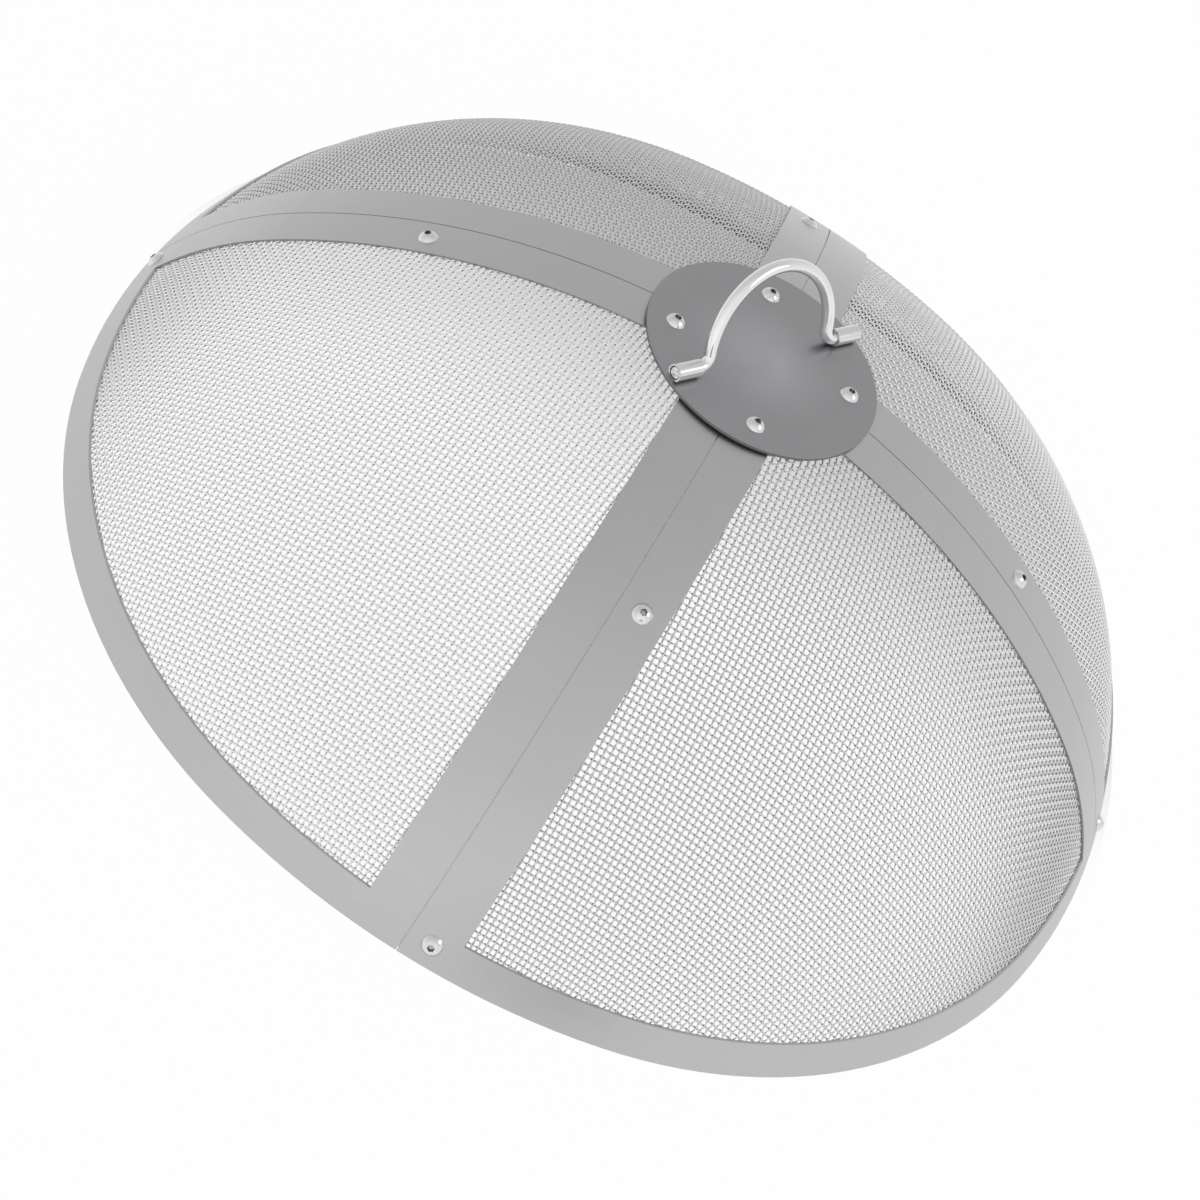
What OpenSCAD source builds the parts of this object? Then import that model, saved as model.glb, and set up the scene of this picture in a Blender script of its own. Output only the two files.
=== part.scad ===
// Domed four-panel mesh screen with a screwed top plate and a swinging bail handle.
// Millimetres, +Z up, rim on z = 0, handle hinge line along X.

/* [Dome] */
// Distance from the centre to the rim on a seam line
seam_radius = 272; // [255:1:300]
// Height of the dome's crown, before the flat top is cut
dome_height = 152; // [135:1:170]
// Angle from upright where the crown arc meets the shoulder arc
shoulder_angle = 40.5; // [38:0.5:45]
// Angle from upright of the skin's normal at the rim
rim_angle = 67; // [62:0.5:72]
// Half width of the flat top, under the plate
flat_half = 47; // [45:1:50]

/* [Panel frames] */
// Thickness of the frame and lap sheets
sheet = 1; // [0.8:0.1:1.4]
// Width of each frame's strip beside a seam
strip_width = 23; // [21:1:28]
// Height of the rim band above the floor
rim_height = 15.5; // [15:0.5:22]
// Radius of the opening in the middle of the flat top
centre_hole = 30; // [24:1:34]

/* [Mesh] */
// Thickness of the mesh, two wires
mesh_thickness = 1.8; // [1.2:0.1:2]
// Width of mesh held under the strips
mesh_lap = 5.5; // [4:0.5:6.5]
// Steps across a panel of the coarse grid that stands for the weave
grid_count = 12; // [8:1:12]
// Open share of each step of that grid
grid_open = 0.7; // [0.5:0.05:0.8]

/* [Top plate] */
// Radius of the plate
plate_radius = 57.5; // [56:0.5:64]
// Thickness of the plate
plate_thickness = 1.5; // [1.2:0.1:2.5]

/* [Fasteners] */
// Thread diameter of the button screws
screw_diameter = 5; // [4:0.5:5.5]
// Length of a screw under its head
screw_length = 10; // [8:0.5:10.5]
// Height of the lower screws above the floor
rim_screw_height = 9.5; // [8:0.5:11]
// Distance of the middle screws from the centre
mid_screw_radius = 157; // [120:1:190]
// The same distance for the screw at the front, which stands further in
front_screw_radius = 147; // [120:1:190]
// Distance of the plate screws from the centre, along the seam
plate_screw_radius = 42; // [40:0.5:44]

/* [Handle] */
// Diameter of the handle rod
rod_diameter = 6; // [5:0.5:7]
// Radius of the handle's arch, to the middle of the rod
arch_radius = 36; // [32:1:38]
// Length of each hinge tube
clip_length = 14; // [10:1:16]
// Wall of the hinge tubes
clip_wall = 1; // [0.8:0.1:1.5]
// Lean of the handle from upright, away from the front
lean = 26; // [0:1:60]

/* [Hidden] */

// Turn from the hinge line to the first seam, and the quarters that follow it
seam_turn = 33;
back = 0;
left = 1;
front = 2;
right = 3;

// Clearances between touching sheets, between frames, in the tubes, nuts and holes
skin_gap = 0.05;
seam_gap = 0.4;
pin_clearance = 0.05;
thread_clearance = 0.02;
hole_clearance = 0.25;
lap_gap = 1;
clip_gap = 0.5;

// Plan shape: the seam arcs turn about (-seam_back, 0) and the corner arcs about
// (corner_shift, corner_shift), so they meet smoothly on the line through both.
// The two middles are arc_shift apart, and the corner arcs are that much smaller.
corner_shift = 28;
seam_back = 68;
arc_shift = 100;
meet_x = 412;
meet_y = 140;
big = 500;

// Crown and shoulder arcs of the meridian, found from the height, radius and angles
sin_s = sin(shoulder_angle);
cos_s = cos(shoulder_angle);
sin_r = sin(rim_angle);
cos_r = cos(rim_angle);
arc_det = sin_s * (cos_s - cos_r) - (sin_r - sin_s) * (1 - cos_s);
crown_radius = (seam_radius * (cos_s - cos_r) - dome_height * (sin_r - sin_s)) / arc_det;
low_radius = (sin_s * dome_height - (1 - cos_s) * seam_radius) / arc_det;
crown_z = dome_height - crown_radius;
low_x = (crown_radius - low_radius) * sin_s;
low_z = crown_z + (crown_radius - low_radius) * cos_s;
join_x = crown_radius * sin_s;
flat_z = crown_z + sqrt(crown_radius * crown_radius - flat_half * flat_half);
plate_top = flat_z + plate_thickness;

// Layers under the frame sheet
layer_top = sheet + skin_gap;
lap_bottom = layer_top + sheet;
mesh_bottom = layer_top + mesh_thickness;
mesh_edge = strip_width - mesh_lap;
lap_half = mesh_edge - lap_gap;
lap_inset = 6;
lap_start = flat_half + lap_inset;
lap_foot = 1;
mesh_foot = rim_height - mesh_lap;
plate_lap = 5;
window_top = plate_radius - plate_lap;

// Coarse grid in the mesh: its steps start beside the strips and reach the rim
grid_step = (seam_radius - strip_width) / grid_count;
grid_hole = grid_step * grid_open;
grid_start = strip_width + (grid_step - grid_hole) / 2;

// Fastener sizes that follow the thread
hole_line = strip_width / 2;
shank_r = screw_diameter / 2;
hole_r = shank_r + hole_clearance;
head_r = 0.95 * screw_diameter;
head_h = 0.55 * screw_diameter;
head_ball = (head_r * head_r + head_h * head_h) / (2 * head_h);
socket_r = 0.3 * screw_diameter / cos(30);
socket_depth = 0.32 * screw_diameter;
nut_r = 0.8 * screw_diameter / cos(30);
nut_hex = 0.8 * screw_diameter;
nut_dome_r = 0.75 * screw_diameter;
nut_height = 2 * screw_diameter;
nut_bore_depth = nut_height - 1.6;
tip = 0.5;

// Handle sizes
rod_r = rod_diameter / 2;
bend_radius = rod_r + 2.5;
clip_r = rod_r + pin_clearance + clip_wall;
clip_flat = 0.2;
axis_z = plate_top + clip_r - clip_flat;
clip_in = arch_radius + bend_radius + clip_gap;
pin_out = clip_in + clip_length - 0.2;

steel = [0.72, 0.72, 0.73];
mesh_grey = [0.80, 0.80, 0.81];
dull_steel = [0.58, 0.58, 0.60];
bright = [0.86, 0.86, 0.88];

// ---- Dome surfaces ----

// Everything under the meridian, moved in by t square to the skin
module under(t) {
    intersection() {
        translate([0, crown_z]) circle(r = crown_radius - t, $fn = 96);
        translate([-1, -1]) square([join_x + 1, big]);
    }
    intersection() {
        translate([low_x, low_z]) circle(r = low_radius - t, $fn = 96);
        translate([join_x, -1]) square([big, big]);
    }
}

// The same above the floor and under the flat top, set out by s for turning
module profile(t, s) {
    intersection() {
        translate([s, 0]) under(t);
        square([big, flat_z - t]);
    }
}

// Full turns of the seam arc and of the corner arc
module seam_turned(t) {
    translate([-seam_back, 0, 0]) rotate_extrude($fn = 96) profile(t, seam_back);
}

module corner_turned(t) {
    translate([corner_shift, corner_shift, 0])
        rotate_extrude($fn = 96) profile(t, seam_back - arc_shift);
}

module seam_side(t) {
    intersection() {
        seam_turned(t);
        linear_extrude(height = big)
            polygon([[-seam_back, 0], [-seam_back, -10], [big, -10], [meet_x, meet_y]]);
    }
}

// Everything under one quarter's skin, between the seam on X and the seam on Y
module form(t) {
    seam_side(t);
    corner_turned(t);
    mirror([1, -1, 0]) seam_side(t);
}

// The quarter's skin between two depths, with its flat top
module quarter_skin(t0, t1) {
    intersection() {
        difference() {
            form(t0);
            form(t1);
        }
        translate([seam_gap / 2, seam_gap / 2, 0]) cube(big);
    }
}

// ---- Places on the dome ----

// Height and tilt of the skin at a plan distance from the centre, on a seam
function skin_z(s) = s < join_x
    ? crown_z + sqrt(crown_radius * crown_radius - s * s)
    : low_z + sqrt(low_radius * low_radius - (s - low_x) * (s - low_x));
function skin_tilt(s) = s < join_x
    ? asin(s / crown_radius)
    : asin((s - low_x) / low_radius);
rim_screw_radius = low_x + sqrt(low_radius * low_radius - pow(rim_screw_height - low_z, 2));
function mid_place(k) = k == front ? front_screw_radius : mid_screw_radius;

// Children stand on the skin beside the seam on X, on the screws' line
module on_skin(s) {
    translate([-seam_back, 0, 0]) rotate([0, 0, asin(hole_line / (s + seam_back))])
        translate([s + seam_back, 0, skin_z(s)]) rotate([0, skin_tilt(s), 0]) children();
}

module on_plate(z) {
    translate([plate_screw_radius, hole_line, z]) children();
}

module at_quarter(k) {
    rotate([0, 0, seam_turn + 90 * k]) children();
}

module hole(length) {
    translate([0, 0, -length]) cylinder(h = 2 * length, r = hole_r, $fn = 32);
}

module skin_holes(k) {
    on_skin(rim_screw_radius) hole(4);
    on_skin(mid_place(k)) hole(4);
}

// ---- Sheet pieces ----

module panel_frame(k) {
    color(steel) at_quarter(k) difference() {
        quarter_skin(0, sheet);
        difference() {
            translate([strip_width, strip_width, rim_height]) cube(big);
            cylinder(h = big, r = window_top, $fn = 96);
        }
        cylinder(h = big, r = centre_hole, $fn = 96);
        skin_holes(k);
        on_plate(flat_z) hole(4);
    }
}

// True for the grid steps whose opening clears the plate and the rim band
function opens(i, j) = i + j > 1 && norm([i + 2, j + 2]) < grid_count + 0.6;

module mesh_openings() {
    for (i = [0:grid_count - 1], j = [0:grid_count - 1])
        if (opens(i, j))
            translate([grid_start + i * grid_step, grid_start + j * grid_step, 0])
                cube([grid_hole, grid_hole, big]);
}

module mesh_panel(k) {
    color(mesh_grey) at_quarter(k) difference() {
        intersection() {
            quarter_skin(layer_top, mesh_bottom);
            translate([mesh_edge, mesh_edge, mesh_foot]) cube(big);
        }
        cylinder(h = big, r = window_top - mesh_lap, $fn = 96);
        mesh_openings();
    }
}

module seam_lap(k) {
    color(dull_steel) at_quarter(k) difference() {
        intersection() {
            difference() {
                seam_turned(layer_top);
                seam_turned(lap_bottom);
            }
            translate([lap_start, -lap_half, lap_foot]) cube([big, 2 * lap_half, big]);
        }
        skin_holes(k);
    }
}

module top_plate() {
    color(steel) difference() {
        translate([0, 0, flat_z]) cylinder(h = plate_thickness, r = plate_radius, $fn = 96);
        for (k = [0:3]) at_quarter(k) on_plate(plate_top) hole(4);
    }
}

// ---- Fasteners ----

// Button screw with its head on z = 0 and its shank below
module button_screw() {
    color(bright) difference() {
        union() {
            intersection() {
                translate([0, 0, head_h - head_ball]) sphere(r = head_ball, $fn = 48);
                cylinder(h = head_h + 1, r = head_r, $fn = 48);
            }
            translate([0, 0, tip - screw_length])
                cylinder(h = screw_length - tip + 0.5, r = shank_r, $fn = 24);
            translate([0, 0, -screw_length])
                cylinder(h = tip, r1 = shank_r - tip, r2 = shank_r, $fn = 24);
        }
        translate([0, 0, head_h - socket_depth]) cylinder(h = 5, r = socket_r, $fn = 6);
    }
}

// Domed nut with its seat on z = 0 and its dome below
module dome_nut() {
    color(bright) mirror([0, 0, 1]) difference() {
        union() {
            cylinder(h = nut_hex, r = nut_r, $fn = 6);
            cylinder(h = nut_height - nut_dome_r, r = nut_dome_r, $fn = 32);
            translate([0, 0, nut_height - nut_dome_r]) sphere(r = nut_dome_r, $fn = 32);
        }
        translate([0, 0, -1])
            cylinder(h = nut_bore_depth + 1, r = shank_r + thread_clearance, $fn = 24);
    }
}

module screws_rim() {
    for (k = [0:3]) at_quarter(k) on_skin(rim_screw_radius) button_screw();
}

module screws_mid() {
    for (k = [0:3]) at_quarter(k) on_skin(mid_place(k)) button_screw();
}

module screws_plate() {
    for (k = [0:3]) at_quarter(k) on_plate(plate_top) button_screw();
}

module nuts_rim() {
    for (k = [0:3]) at_quarter(k) on_skin(rim_screw_radius)
        translate([0, 0, -lap_bottom - skin_gap]) dome_nut();
}

module nuts_mid() {
    for (k = [0:3]) at_quarter(k) on_skin(mid_place(k))
        translate([0, 0, -lap_bottom - skin_gap]) dome_nut();
}

module nuts_plate() {
    for (k = [0:3]) at_quarter(k) on_plate(flat_z - sheet) dome_nut();
}

// ---- Handle ----

// Hinge tube with a narrow flat along its foot where it is welded to the plate
module clip(side) {
    color(bright) difference() {
        translate([side * clip_in, 0, axis_z]) rotate([0, 90 * side, 0]) difference() {
            cylinder(h = clip_length, r = clip_r, $fn = 48);
            translate([0, 0, -1])
                cylinder(h = clip_length + 2, r = rod_r + pin_clearance, $fn = 48);
        }
        translate([-big / 2, -big / 2, plate_top - big]) cube(big);
    }
}

module bail_side() {
    translate([clip_in - clip_gap, 0, 0]) rotate([0, 90, 0]) {
        cylinder(h = pin_out - clip_in + clip_gap - tip, r = rod_r, $fn = 48);
        translate([0, 0, pin_out - clip_in + clip_gap - tip])
            cylinder(h = tip, r1 = rod_r, r2 = rod_r - tip, $fn = 48);
    }
    translate([clip_in - clip_gap, 0, bend_radius]) rotate([90, 0, 0]) rotate([0, 0, 180])
        rotate_extrude(angle = 90, $fn = 96) translate([bend_radius, 0]) circle(r = rod_r, $fn = 48);
}

module bail() {
    color(bright) translate([0, 0, axis_z]) rotate([-lean, 0, 0]) {
        bail_side();
        mirror([1, 0, 0]) bail_side();
        translate([0, 0, bend_radius]) rotate([90, 0, 0])
            rotate_extrude(angle = 180, $fn = 96) translate([arch_radius, 0]) circle(r = rod_r, $fn = 48);
    }
}

panel_frame(front);  // frame_front
panel_frame(right);  // frame_right
panel_frame(back);  // frame_back
panel_frame(left);  // frame_left
mesh_panel(front);  // mesh_front
mesh_panel(right);  // mesh_right
mesh_panel(back);  // mesh_back
mesh_panel(left);  // mesh_left
seam_lap(front);  // lap_front_left
seam_lap(right);  // lap_front_right
seam_lap(back);  // lap_back_right
seam_lap(left);  // lap_back_left
top_plate();
clip(-1);  // clip_left
clip(1);  // clip_right
bail();
screws_rim();
screws_mid();
screws_plate();
nuts_rim();
nuts_mid();
nuts_plate();
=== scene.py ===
import math

import bpy
import numpy as np
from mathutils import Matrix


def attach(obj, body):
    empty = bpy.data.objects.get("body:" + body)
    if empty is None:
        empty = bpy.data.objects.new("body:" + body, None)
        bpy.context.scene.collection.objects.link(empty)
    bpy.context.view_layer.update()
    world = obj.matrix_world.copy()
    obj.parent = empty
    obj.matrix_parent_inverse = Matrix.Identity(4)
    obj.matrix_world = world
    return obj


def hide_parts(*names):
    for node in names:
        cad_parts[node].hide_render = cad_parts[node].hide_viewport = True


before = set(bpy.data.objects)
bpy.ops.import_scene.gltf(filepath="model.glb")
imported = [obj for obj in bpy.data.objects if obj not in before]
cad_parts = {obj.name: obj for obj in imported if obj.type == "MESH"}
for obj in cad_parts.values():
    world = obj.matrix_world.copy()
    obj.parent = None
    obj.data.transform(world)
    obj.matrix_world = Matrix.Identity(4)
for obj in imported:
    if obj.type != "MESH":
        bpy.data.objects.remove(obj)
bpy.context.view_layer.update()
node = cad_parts
mm = 0.001



def addObject(name, data):
    made = bpy.data.objects.new(name, data)
    bpy.context.scene.collection.objects.link(made)
    return made


view = {
    "place": (-0.7812, -0.4517, 0.8651),
    "turn": (39.51, -23.78, -34.00),
    "lens": 76.62,
    "sensor": 36.0,
    "clipStart": 0.05,
}
camera = addObject("camera", bpy.data.cameras.new("camera"))
camera.location = view["place"]
camera.rotation_euler = [math.radians(a) for a in view["turn"]]
camera.data.lens = view["lens"]
camera.data.sensor_width = view["sensor"]
camera.data.clip_start = view["clipStart"]
bpy.context.scene.camera = camera
bpy.context.scene.view_settings.view_transform = "Standard"
print("camera set")


# The dome as in the CAD: crown and shoulder arcs in the meridian, seam and corner arcs in plan
dome = {
    "seamRadius": 272.0,
    "height": 152.0,
    "shoulder": math.radians(40.5),
    "rim": math.radians(67.0),
    "seamBack": 68.0,
    "cornerShift": 28.0,
    "arcShift": 100.0,
    "seamTurn": math.radians(33.0),
}


# Radii and middles of the two meridian arcs, from the height, the width and both angles
def arcs():
    s, c = math.sin(dome["shoulder"]), math.cos(dome["shoulder"])
    sr, cr = math.sin(dome["rim"]), math.cos(dome["rim"])
    det = s * (c - cr) - (sr - s) * (1 - c)
    crown = (dome["seamRadius"] * (c - cr) - dome["height"] * (sr - s)) / det
    low = (s * dome["height"] - (1 - c) * dome["seamRadius"]) / det
    top = dome["height"] - crown
    return crown, low, top, (crown - low) * s, top + (crown - low) * c, crown * s


crownR, lowR, crownZ, lowX, lowZ, joinX = arcs()


def newMaterial(name):
    mat = bpy.data.materials.new(name)
    mat.use_nodes = True
    tree = mat.node_tree
    return mat, tree, tree.nodes["Principled BSDF"]


def addNode(tree, kind, inputs=None, **settings):
    made = tree.nodes.new(kind)
    for key, value in settings.items():
        setattr(made, key, value)
    for key, value in (inputs or {}).items():
        if isinstance(value, bpy.types.NodeSocket):
            tree.links.new(value, made.inputs[key])
        else:
            made.inputs[key].default_value = value
    return made


def addMath(tree, operation, *values):
    made = addNode(tree, "ShaderNodeMath", dict(enumerate(values)), operation=operation)
    return made.outputs[0]


def addVector(tree, operation, *values, result="Vector"):
    made = addNode(tree, "ShaderNodeVectorMath", dict(enumerate(values)), operation=operation)
    return made.outputs[result]


def addFade(tree, value, low, high, start, end):
    made = addNode(
        tree,
        "ShaderNodeMapRange",
        {"Value": value, "From Min": low, "From Max": high, "To Min": start, "To Max": end},
        interpolation_type="SMOOTHSTEP",
    )
    return made.outputs["Result"]


def addNoise(tree, place, scale, detail):
    made = addNode(
        tree, "ShaderNodeTexNoise", {"Vector": place, "Scale": scale, "Detail": detail}
    )
    return made.outputs["Fac"]


def newGroup(name, inputs, outputs):
    group = bpy.data.node_groups.new(name, "ShaderNodeTree")
    for label, kind, value in inputs:
        made = group.interface.new_socket(label, in_out="INPUT", socket_type=kind)
        if value is not None:
            made.default_value = value
    for label, kind in outputs:
        group.interface.new_socket(label, in_out="OUTPUT", socket_type=kind)
    return group, group.nodes.new("NodeGroupInput"), group.nodes.new("NodeGroupOutput")


# Grain, clouds, scratches and smears of the metals. A face is a cut one where the cosine
# between its normal and the way out from the crown arc's middle is under cutLimit.
marking = {
    "grainStretch": (1800.0, 60.0, 60.0),
    "grainDetail": 2.0,
    "cloudScale": 28.0,
    "cloudDetail": 4.0,
    "cloudRough": 0.08,
    "scratchDetail": 3.0,
    "smearScale": 60.0,
    "smearDetail": 2.0,
    "smearRough": 0.12,
    "cutLimit": 0.4,
}


# Rolled sheet: fine grain stretched along one way, with faint cloudy handling marks.
# It gives a tone factor, a roughness and a bump height.
def sheetGrain():
    group, inside, out = newGroup(
        "sheetGrain",
        [
            ("Roughness", "NodeSocketFloat", 0.35),
            ("Grain", "NodeSocketFloat", 0.02),
            ("Clouds", "NodeSocketFloat", 0.03),
        ],
        [
            ("Tone", "NodeSocketFloat"),
            ("Roughness", "NodeSocketFloat"),
            ("Height", "NodeSocketFloat"),
        ],
    )
    place = addNode(group, "ShaderNodeTexCoord").outputs["Object"]
    stretched = addNode(
        group, "ShaderNodeMapping", {"Vector": place, "Scale": marking["grainStretch"]}
    ).outputs["Vector"]
    lines = addNoise(group, stretched, 1.0, marking["grainDetail"])
    clouds = addNoise(group, place, marking["cloudScale"], marking["cloudDetail"])

    def around(value, middle, amount):
        shifted = addMath(group, "SUBTRACT", value, 0.5)
        return addMath(group, "MULTIPLY_ADD", shifted, amount, middle)

    grained = around(lines, 1.0, inside.outputs["Grain"])
    toned = around(clouds, grained, inside.outputs["Clouds"])
    rough = around(clouds, inside.outputs["Roughness"], marking["cloudRough"])
    group.links.new(toned, out.inputs["Tone"])
    group.links.new(rough, out.inputs["Roughness"])
    group.links.new(lines, out.inputs["Height"])
    return group


# Fine scratches on polished rod, tube, wire and screw heads: a roughness and a bump height
def polishMarks():
    group, inside, out = newGroup(
        "polishMarks",
        [("Roughness", "NodeSocketFloat", 0.08), ("Scale", "NodeSocketFloat", 900.0)],
        [("Roughness", "NodeSocketFloat"), ("Height", "NodeSocketFloat")],
    )
    place = addNode(group, "ShaderNodeTexCoord").outputs["Object"]
    scratches = addNoise(group, place, inside.outputs["Scale"], marking["scratchDetail"])
    smears = addNoise(group, place, marking["smearScale"], marking["smearDetail"])
    rough = addMath(
        group, "MULTIPLY_ADD", smears, marking["smearRough"], inside.outputs["Roughness"]
    )
    group.links.new(rough, out.inputs["Roughness"])
    group.links.new(scratches, out.inputs["Height"])
    return group


# Masks for painted shade and painted light on a sheet. Joint is 1 on the lines where two
# frames meet: distance to the nearer seam plane against a width; it paints the shade in the
# gap between two frames. Edge is 1 on cut faces, whose normal is square to the line from the
# crown arc's middle; it paints the shade under a sheet's edge. Foot is 1 low down on faces
# that look inward; it paints the shade inside the rim's foot. Middle is 1 on the dome's axis
# and fades out round it; it paints a lighter middle, a painted light.
def sheetBounds():
    group, inside, out = newGroup(
        "sheetBounds",
        [
            ("Seam Turn", "NodeSocketFloat", 0.0),
            ("Line Width", "NodeSocketFloat", 0.0005),
            ("Crown Middle", "NodeSocketFloat", -0.2),
            ("Foot Height", "NodeSocketFloat", 0.005),
            ("Middle Radius", "NodeSocketFloat", 0.05),
        ],
        [
            ("Joint", "NodeSocketFloat"),
            ("Edge", "NodeSocketFloat"),
            ("Foot", "NodeSocketFloat"),
            ("Middle", "NodeSocketFloat"),
        ],
    )
    place = addNode(group, "ShaderNodeTexCoord").outputs["Object"]
    spun = addNode(
        group,
        "ShaderNodeVectorRotate",
        {"Vector": place, "Angle": inside.outputs["Seam Turn"]},
        rotation_type="Z_AXIS",
        invert=True,
    ).outputs["Vector"]
    flat = addNode(group, "ShaderNodeSeparateXYZ", {0: spun})
    offs = [addMath(group, "ABSOLUTE", flat.outputs[i]) for i in (0, 1)]
    nearest = addMath(group, "MINIMUM", *offs)
    joint = addFade(group, nearest, 0.0, inside.outputs["Line Width"], 1.0, 0.0)
    squares = [addMath(group, "MULTIPLY", off, off) for off in offs]
    radius = addMath(group, "POWER", addMath(group, "ADD", *squares), 0.5)
    central = addFade(group, radius, 0.0, inside.outputs["Middle Radius"], 1.0, 0.0)
    middle = addNode(group, "ShaderNodeCombineXYZ", {2: inside.outputs["Crown Middle"]})
    away = addVector(group, "SUBTRACT", place, middle.outputs[0])
    unit = addVector(group, "NORMALIZE", away)
    face = addNode(group, "ShaderNodeNewGeometry").outputs["True Normal"]
    along = addVector(group, "DOT_PRODUCT", unit, face, result="Value")
    limit = marking["cutLimit"]
    edge = addMath(group, "LESS_THAN", addMath(group, "ABSOLUTE", along), limit)
    inward = addMath(group, "LESS_THAN", along, -limit)
    height = addNode(group, "ShaderNodeSeparateXYZ", {0: place}).outputs[2]
    near = addMath(group, "LESS_THAN", height, inside.outputs["Foot Height"])
    group.links.new(joint, out.inputs["Joint"])
    group.links.new(edge, out.inputs["Edge"])
    group.links.new(addMath(group, "MULTIPLY", inward, near), out.inputs["Foot"])
    group.links.new(central, out.inputs["Middle"])
    return group


# Normal of a sheet: the smooth one, and the flat face's own where the two part by more than
# the Turn limits, as they do in the long triangles beside a window's corner
def calmNormal():
    group, inside, out = newGroup(
        "calmNormal",
        [("Least Turn", "NodeSocketFloat", 5.0), ("Most Turn", "NodeSocketFloat", 8.0)],
        [("Normal", "NodeSocketVector")],
    )
    face = addNode(group, "ShaderNodeNewGeometry")
    smooth, flat = face.outputs["Normal"], face.outputs["True Normal"]
    apart = addMath(
        group, "ARCCOSINE", addVector(group, "DOT_PRODUCT", smooth, flat, result="Value")
    )
    degrees = addMath(group, "DEGREES", apart)
    share = addFade(
        group, degrees, inside.outputs["Least Turn"], inside.outputs["Most Turn"], 0.0, 1.0
    )
    mixed = addNode(
        group, "ShaderNodeMix", {"Factor": share, 4: smooth, 5: flat}, data_type="VECTOR"
    )
    group.links.new(addVector(group, "NORMALIZE", mixed.outputs[1]), out.inputs["Normal"])
    return group


grain = sheetGrain()
polish = polishMarks()
bounds = sheetBounds()
calm = calmNormal()


# A hollow is a recess, found by how much of the space around it is closed; polished metal is
# painted in shade there
finishAndShade = {
    "sheetBump": {"Strength": 0.04, "Distance": 0.0002},
    "polishBump": {"Strength": 0.05, "Distance": 0.0001},
    "edgeSamples": 4,
    "hollowSamples": 8,
    "hollowFrom": 0.25,
    "hollowTo": 0.85,
}


# Gives a metal its colour times a tone, and the roughness and bump that its marks make
def finishMetal(tree, shader, colour, tone, marks, bump, **normal):
    toned = addNode(tree, "ShaderNodeVectorMath", {0: colour, "Scale": tone}, operation="SCALE")
    bumped = addNode(
        tree, "ShaderNodeBump", {**bump, "Height": marks.outputs["Height"], **normal}
    )
    tree.links.new(toned.outputs[0], shader.inputs["Base Color"])
    tree.links.new(marks.outputs["Roughness"], shader.inputs["Roughness"])
    tree.links.new(bumped.outputs["Normal"], shader.inputs["Normal"])
    shader.inputs["Metallic"].default_value = 1.0


def sheetMaterial(name, colour, roughness, grainAmount, clouds, edge, dark):
    mat, tree, shader = newMaterial(name)
    marks = addNode(
        tree,
        "ShaderNodeGroup",
        {"Roughness": roughness, "Grain": grainAmount, "Clouds": clouds},
        node_tree=grain,
    )
    places = addNode(
        tree,
        "ShaderNodeGroup",
        {
            "Seam Turn": dome["seamTurn"],
            "Line Width": sheets["lineWidth"],
            "Crown Middle": crownZ * mm,
            "Foot Height": sheets["footHeight"],
            "Middle Radius": sheets["middleRadius"],
        },
        node_tree=bounds,
    )
    tone = marks.outputs["Tone"]
    # Each share in dark darkens the tone where its mask is 1, as painted shade; a share below
    # naught paints light instead
    for word, share in dark.items():
        left = addMath(tree, "MULTIPLY_ADD", places.outputs[word], -share, 1.0)
        tone = addMath(tree, "MULTIPLY", tone, left)
    steady = addNode(tree, "ShaderNodeGroup", node_tree=calm)
    edges = addNode(
        tree,
        "ShaderNodeBevel",
        {"Radius": edge, "Normal": steady.outputs[0]},
        samples=finishAndShade["edgeSamples"],
    )
    finishMetal(
        tree, shader, colour, tone, marks, finishAndShade["sheetBump"], Normal=edges.outputs[0]
    )
    return mat


# Polished metal, with painted shade in its corners and recesses as far as reach goes from them
def polishedMaterial(name, colour, roughness, scale, reach, paintedShade):
    mat, tree, shader = newMaterial(name)
    marks = addNode(
        tree, "ShaderNodeGroup", {"Roughness": roughness, "Scale": scale}, node_tree=polish
    )
    opened = addNode(
        tree,
        "ShaderNodeAmbientOcclusion",
        {"Distance": reach},
        samples=finishAndShade["hollowSamples"],
    ).outputs["AO"]
    # Painted shade: the tone falls where the hollow is closed
    tone = addFade(tree, opened, finishAndShade["hollowFrom"], finishAndShade["hollowTo"], 1.0 - paintedShade, 1.0)
    finishMetal(tree, shader, colour, tone, marks, finishAndShade["polishBump"])
    return mat


def give(names, mat):
    for name in names:
        slots = node[name].data.materials
        slots.clear()
        slots.append(mat)


sheets = {
    "lineWidth": 0.6 * mm,
    "footHeight": 9.0 * mm,
    "middleRadius": 42.0 * mm,
    "frames": dict(
        colour=(0.52, 0.52, 0.53),
        roughness=0.36,
        grainAmount=0.04,
        clouds=0.06,
        edge=0.25 * mm,
        # Painted shade: in the seams' gaps, under the cut edges and inside the rim's foot
        dark={"Joint": 0.1, "Edge": 0.3, "Foot": 0.92},
    ),
    "plate": dict(
        colour=(0.36, 0.36, 0.37),
        roughness=0.36,
        grainAmount=0.02,
        clouds=0.05,
        edge=0.3 * mm,
        # Painted shade under the cut edges, and a painted light in the plate's middle
        dark={"Edge": 0.3, "Middle": -0.3},
    ),
    "laps": dict(
        colour=(0.8, 0.8, 0.81),
        roughness=0.4,
        grainAmount=0.04,
        clouds=0.06,
        edge=0.25 * mm,
        # Painted shade under the cut edges
        dark={"Edge": 0.3},
    ),
}
quarters = ["front", "right", "back", "left"]
give(["frame_" + q for q in quarters], sheetMaterial("frameSteel", **sheets["frames"]))
give(["top_plate"], sheetMaterial("plateSteel", **sheets["plate"]))
give([n for n in node if n.startswith("lap_")], sheetMaterial("lapSteel", **sheets["laps"]))

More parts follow.
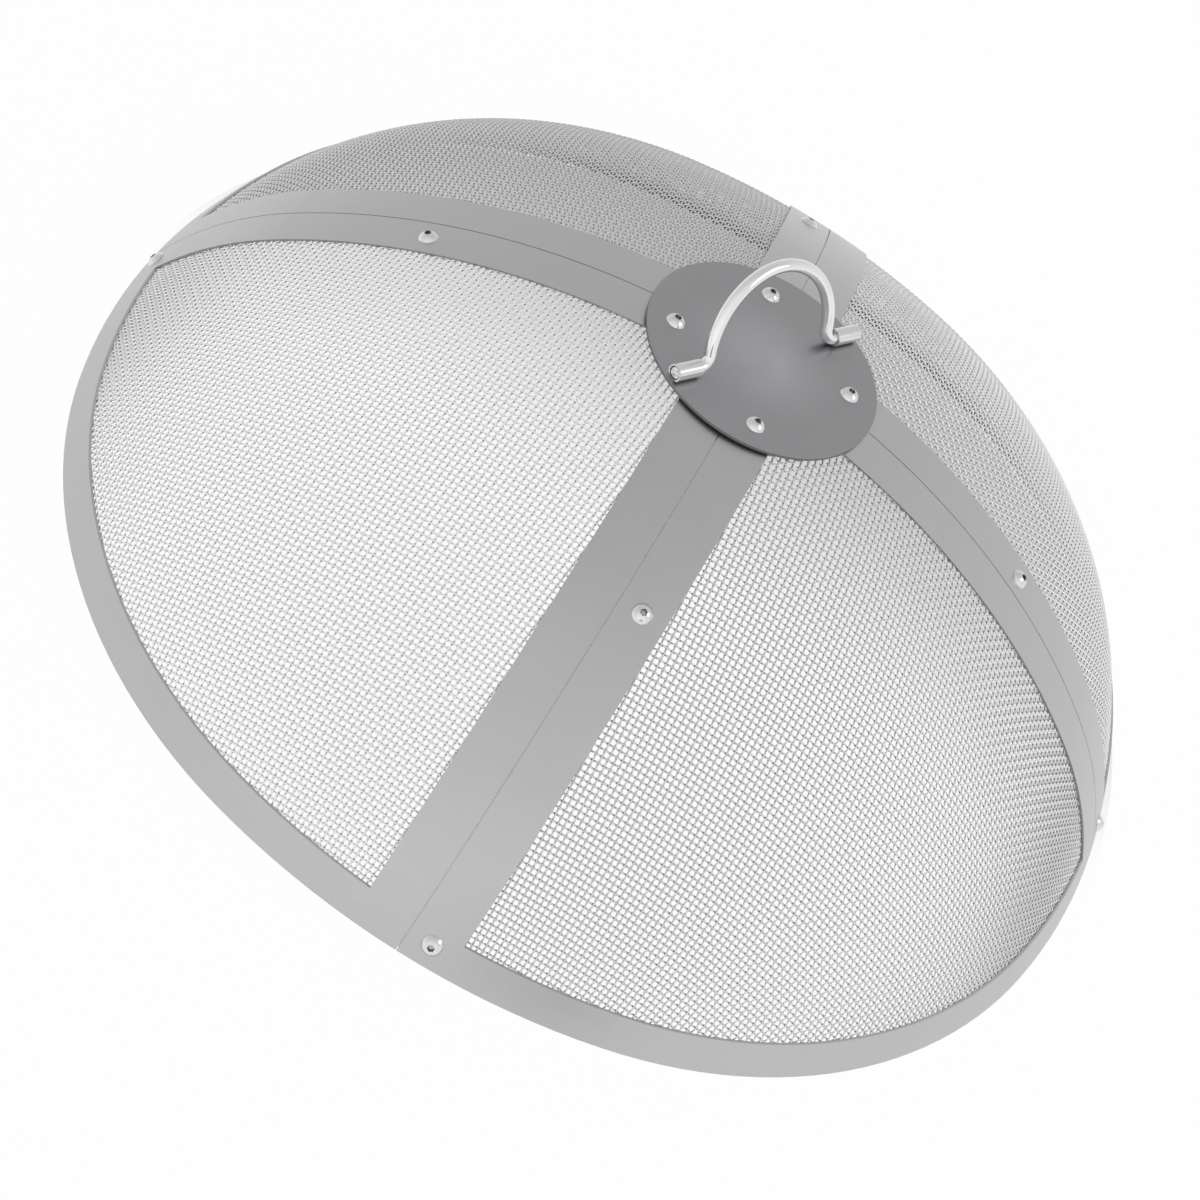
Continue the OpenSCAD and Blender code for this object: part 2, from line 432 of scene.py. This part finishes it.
# Each one's last number is the share of painted shade in its corners and recesses
bright = {
    "rod": dict(colour=(0.82, 0.82, 0.83), roughness=0.06, scale=700.0, reach=1.5 * mm, paintedShade=0.5),
    "tubes": dict(colour=(0.74, 0.74, 0.75), roughness=0.1, scale=900.0, reach=2 * mm, paintedShade=0.7),
    "screws": dict(
        colour=(0.74, 0.74, 0.75), roughness=0.07, scale=1200.0, reach=2.4 * mm, paintedShade=0.85
    ),
}
give(["bail"], polishedMaterial("rodChrome", **bright["rod"]))
give(["clip_left", "clip_right"], polishedMaterial("tubeSteel", **bright["tubes"]))
give(
    [n for n in node if n.startswith(("screws_", "nuts_"))],
    polishedMaterial("fastenerChrome", **bright["screws"]),
)
print("CAD pieces painted")


# Sizes in mm, turns in degrees. Depth is from the dome's outer face to the weave's middle,
# steps are the rings of a wire in each pitch, and before is how many pitches short of the
# pole the wires begin, so that a turned panel fills up to its edges.
weave = {
    "pitch": 3.0,
    "wire": 0.9,
    "depth": 1.95,
    "steps": 3,
    "before": 14,
    "edge": 17.5,
    "foot": 10.0,
    "top": 47.0,
    "turn": {"back": 4.0, "left": -6.0, "front": 5.0, "right": -7.0},
}


# Distance s along the seam that has the same height, from the plan place, and the unit
# vector out from the middle of the plan arc that the place belongs to
def planPlace(x, y):
    back, shift = dome["seamBack"], dome["cornerShift"]
    slope = shift / (back + shift)
    onX = y <= (x + back) * slope
    onY = x <= (y + back) * slope
    cx = np.where(onX, -back, np.where(onY, 0.0, shift))
    cy = np.where(onX, 0.0, np.where(onY, -back, shift))
    off = np.where(onX | onY, -back, dome["arcShift"] - back)
    r = np.hypot(x - cx, y - cy)
    return r + off, (x - cx) / r, (y - cy) / r


# Point at a depth square to the skin: height and tilt come from the crown arc inside
# joinX and from the shoulder arc outside it
def onDome(x, y, depth):
    s, hx, hy = planPlace(x, y)
    inner = s < joinX
    sine = np.where(inner, s / crownR, (s - lowX) / lowR)
    sine = np.clip(sine, -1.0, 1.0)
    cosine = np.sqrt(1.0 - sine**2)
    z = np.where(inner, crownZ + crownR * cosine, lowZ + lowR * cosine)
    normal = np.stack([sine * hx, sine * hy, cosine], -1)
    point = np.stack([x, y, z], -1) - depth * normal
    return point, normal, s


# Plan distance from the pole after a length down the skin: sine of the crown arc's angle,
# then of the shoulder arc's
def planReach(length):
    joint = crownR * dome["shoulder"]
    low = np.clip(dome["shoulder"] + (length - joint) / lowR, 0.0, math.pi / 2)
    crown = crownR * np.sin(np.minimum(length, joint) / crownR)
    return np.where(length < joint, crown, lowX + lowR * np.sin(low))


# One family of wires over a quarter. Wires lie where the first coordinate is a whole
# number of pitches, and each bends over and under with half a cosine wave a pitch. The two
# coordinates give a length down the skin and a way out from the pole. The plan is wider at
# the corners by a share that grows with the square of the sine of twice the angle.
def wireFamily(quarter, across):
    pitch, steps, before = weave["pitch"], weave["steps"], weave["before"]
    turn = math.radians(weave["turn"][quarter])
    corner = math.sqrt(2) * dome["cornerShift"] + dome["seamBack"] - dome["arcShift"]
    wider = corner / dome["seamRadius"]
    seam = crownR * dome["shoulder"] + lowR * (dome["rim"] - dome["shoulder"])
    longest = seam * (1 + 2 * wider)
    span = math.ceil(longest / pitch)
    i = np.arange(-before, span)[:, None]
    k = np.arange(-before * steps, span * steps)[None, :]
    first = i * pitch + 0.0 * k
    second = k * pitch / steps + 0.0 * i
    u, v = (second, first) if across else (first, second)
    length = np.maximum(np.hypot(u, v), 1e-6)
    wayX = (u * math.cos(turn) - v * math.sin(turn)) / length
    wayY = (u * math.sin(turn) + v * math.cos(turn)) / length
    plan = planReach(length) * (1 + wider * (2 * wayX * wayY) ** 2)
    x, y = plan * wayX, plan * wayY
    point, normal, s = onDome(x, y, weave["depth"])
    sign = np.where((i + across) % 2 == 0, 1.0, -1.0)
    sway = sign * np.cos(math.pi * k / steps)
    centre = point + 0.5 * weave["wire"] * sway[..., None] * normal
    ahead = np.roll(centre, -1, 1) - np.roll(centre, 1, 1)
    ahead /= np.linalg.norm(ahead, axis=-1, keepdims=True)
    side = np.cross(normal, ahead)
    side /= np.linalg.norm(side, axis=-1, keepdims=True)
    over = np.cross(ahead, side)
    keep = (
        (x > weave["edge"])
        & (y > weave["edge"])
        & (point[..., 2] > weave["foot"])
        & (np.hypot(x, y) > weave["top"])
        & (s < dome["seamRadius"])
        & (length < longest)
    )
    ring = np.stack([over, side, -over, -side], 2) * (0.5 * weave["wire"])
    return centre[:, :, None, :] + ring, keep, sway


# Joins the four-sided rings along each wire with quads and closes both ends. A ring with
# none beside it is left out.
def tubeMesh(name, rings, keep, sway):
    keep = keep & (np.roll(keep, 1, 1) | np.roll(keep, -1, 1))
    sides = rings.shape[2]
    order = np.full(keep.shape, -1)
    order[keep] = np.arange(keep.sum())
    here = keep[:, :-1] & keep[:, 1:]
    a = order[:, :-1][here][:, None] * sides
    b = order[:, 1:][here][:, None] * sides
    c = np.arange(sides)[None, :]
    d = (c + 1) % sides
    walls = np.stack([a + c, b + c, b + d, a + d], -1).reshape(-1, 4)
    before = np.zeros_like(keep)
    before[:, 1:] = keep[:, :-1]
    after = np.zeros_like(keep)
    after[:, :-1] = keep[:, 1:]
    starts = order[keep & ~before][:, None] * sides + np.arange(sides)
    ends = order[keep & ~after][:, None] * sides + np.arange(sides)[::-1]
    faces = np.concatenate([walls, starts, ends])
    verts = rings[keep].reshape(-1, 3) * mm
    mesh = bpy.data.meshes.new(name)
    mesh.vertices.add(len(verts))
    mesh.vertices.foreach_set("co", verts.astype(np.float32).ravel())
    mesh.loops.add(faces.size)
    mesh.loops.foreach_set("vertex_index", faces.astype(np.int32).ravel())
    mesh.polygons.add(len(faces))
    loopStarts = np.arange(0, faces.size, faces.shape[1], dtype=np.int32)
    mesh.polygons.foreach_set("loop_start", loopStarts)
    mesh.polygons.foreach_set("use_smooth", np.ones(len(faces), bool))
    mesh.update(calc_edges=True)
    swayed = mesh.attributes.new("sway", "FLOAT", "POINT")
    swayed.data.foreach_set("value", np.repeat(sway[keep], sides))
    mesh.validate()
    return addObject(name, mesh)


# Rings of the quarter between the first two seams, moved to their own quarter
def turned(rings, quarterIndex):
    a = dome["seamTurn"] + quarterIndex * math.pi / 2
    spin = np.array([[math.cos(a), math.sin(a), 0], [-math.sin(a), math.cos(a), 0], [0, 0, 1]])
    return rings @ spin


wires = {
    "scale": 1500.0,
    "swayFrom": -0.9,
    "swayTo": 0.1,
    "brightest": 0.97,
    "bluer": 0.01,
    # The last number of warp and weft is the share of painted shade where a wire dives under
    "warp": dict(colour=0.92, roughness=0.3, paintedShade=0.45),
    "weft": dict(colour=0.94, roughness=0.3, paintedShade=0.8),
}


# Wire is painted darker where it dives under its neighbour, a painted shade for the shadow at
# each crossing
def wireMaterial(name, roll, colour, roughness, paintedShade):
    mat, tree, shader = newMaterial(name)
    marks = addNode(
        tree,
        "ShaderNodeGroup",
        {"Roughness": roughness, "Scale": wires["scale"]},
        node_tree=polish,
    )
    sway = addNode(tree, "ShaderNodeAttribute", attribute_name="sway").outputs["Fac"]
    # Painted shade on the wire where it dives under
    tone = addFade(tree, sway, wires["swayFrom"], wires["swayTo"], paintedShade, 1.0)
    tint = (colour, colour, colour + wires["bluer"])
    # roll is the quarter's level of painted light and shade
    steel = tuple(min(roll * c, wires["brightest"]) for c in tint)
    finishMetal(tree, shader, steel, tone, marks, finishAndShade["polishBump"])
    return mat


# The four panels' wires are toned apart: painted light and shade for how light falls on each
# quarter
paintedSideLight = {"back": 0.82, "left": 1.02, "front": 0.82, "right": 0.96}
for index, quarter in enumerate(paintedSideLight):
    for word, across in (("warp", False), ("weft", True)):
        rings, keep, sway = wireFamily(quarter, across)
        name = word + quarter.capitalize()
        piece = tubeMesh(name, turned(rings, index), keep, sway)
        piece.data.materials.append(wireMaterial(name + "Steel", paintedSideLight[quarter], **wires[word]))
        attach(piece, "screen")
        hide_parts("mesh_" + quarter)
        print(piece.name, len(piece.data.polygons) * 2)
print("mesh woven")


studio = {
    "floor": (0.95, 0.95, 0.95),
    "floorSize": 8.0,
    "floorRough": 0.9,
    "backlit": 0.97,
    "underTowards": (0.87, 0.5, 0.0),
    "underFrom": -0.02,
    "underTo": 0.25,
    "underRadius": 0.276,
    "underLevel": 0.45,
    "skyMiddle": 0.893,
    "skySwing": 0.396,
    "skyTowards": (-0.047, -0.133, -0.37),
    "mirrorShare": 0.3,
    "lowLevel": 0.25,
    "lowFrom": -0.12,
    "lowTo": 0.03,
    "cards": [
        dict(way=(-0.62, -0.44, 0.65), wide=0.5, full=0.98, level=1.2),
        dict(way=(-0.55, -0.83, 0.0), wide=0.975, full=0.99, level=0.2),
    ],
    "key": (0.9, -1.1, 1.5),
    "keyPower": 4.0,
    "keySize": 0.9,
}


def plane(name, size, z):
    mesh = bpy.data.meshes.new(name)
    h = size / 2
    mesh.from_pydata([(-h, -h, z), (h, -h, z), (h, h, z), (-h, h, z)], [], [(0, 1, 2, 3)])
    return addObject(name, mesh)


# Share of a ray that sees the plain white background: camera and see-through rays
def seen(tree):
    path = addNode(tree, "ShaderNodeLightPath")
    rays = [path.outputs[w] for w in ("Is Camera Ray", "Is Transmission Ray")]
    return path, addMath(tree, "MAXIMUM", *rays)


floor = plane("floor", studio["floorSize"], 0.0)
floorMat, tree, paper = newMaterial("floorPaper")
paper.inputs["Base Color"].default_value = (*studio["floor"], 1.0)
paper.inputs["Roughness"].default_value = studio["floorRough"]
paper.inputs["Specular IOR Level"].default_value = 0.0
path, direct = seen(tree)
mirrored = addMath(tree, "MAXIMUM", direct, path.outputs["Is Glossy Ray"])
share = addMath(tree, "MULTIPLY", mirrored, studio["backlit"])
# Painted shadow: the white fades under the far side of the dome, where least light comes in
onFloor = addNode(tree, "ShaderNodeTexCoord").outputs["Object"]
along = addVector(tree, "DOT_PRODUCT", onFloor, studio["underTowards"], result="Value")
radius = addVector(tree, "LENGTH", onFloor, result="Value")
under = addMath(tree, "LESS_THAN", radius, studio["underRadius"])
deep = addFade(
    tree, along, studio["underFrom"], studio["underTo"], 0.0, 1.0 - studio["underLevel"]
)
white = addMath(tree, "MULTIPLY_ADD", addMath(tree, "MULTIPLY", under, deep), -1.0, 1.0)
glow = addNode(tree, "ShaderNodeEmission", {"Color": (1, 1, 1, 1), "Strength": white})
both = addNode(
    tree, "ShaderNodeMixShader", {0: share, 1: paper.outputs[0], 2: glow.outputs[0]}
)
tree.links.new(both.outputs[0], tree.nodes["Material Output"].inputs["Surface"])
floor.data.materials.append(floorMat)

world = bpy.data.worlds.new("studio")
bpy.context.scene.world = world
world.use_nodes = True
tree = world.node_tree
tree.nodes.clear()
way = addNode(tree, "ShaderNodeTexCoord").outputs["Generated"]


def towards(direction):
    aim = np.array(direction) / np.linalg.norm(direction)
    return addVector(tree, "DOT_PRODUCT", way, tuple(aim), result="Value")


# The sky fades across, is dim below the floor's edge, and has a bright card and a dark one,
# which the metal mirrors
swing = addMath(
    tree, "MULTIPLY_ADD", towards(studio["skyTowards"]), studio["skySwing"], studio["skyMiddle"]
)
up = towards((0, 0, 1))
room = addFade(tree, up, studio["lowFrom"], studio["lowTo"], studio["lowLevel"], 1.0)
path, direct = seen(tree)
mirror = path.outputs["Is Glossy Ray"]
for card in studio["cards"]:
    shade = addFade(tree, towards(card["way"]), card["wide"], card["full"], 1.0, card["level"])
    room = addMath(tree, "MULTIPLY", room, shade)
share = addMath(tree, "MAXIMUM", direct, addMath(tree, "MULTIPLY", mirror, studio["mirrorShare"]))
sky = addNode(tree, "ShaderNodeMix", {0: share, 2: swing, 3: 1.0})
below = addNode(tree, "ShaderNodeMix", {0: direct, 2: room, 3: 1.0})
level = addNode(
    tree, "ShaderNodeMath", {0: sky.outputs[0], 1: below.outputs[0]}, operation="MULTIPLY"
)
lit = addNode(tree, "ShaderNodeBackground", {"Color": (1, 1, 1, 1), "Strength": level.outputs[0]})
addNode(tree, "ShaderNodeOutputWorld", {"Surface": lit.outputs[0]})

key = bpy.data.lights.new("key", "AREA")
key.energy = studio["keyPower"]
key.size = studio["keySize"]
keyLamp = addObject("key", key)
keyLamp.location = studio["key"]
aim = -np.array(studio["key"])
keyLamp.rotation_euler = (
    math.atan2(math.hypot(aim[0], aim[1]), -aim[2]),
    0.0,
    math.atan2(aim[1], aim[0]) - math.pi / 2,
)
print("studio lit")
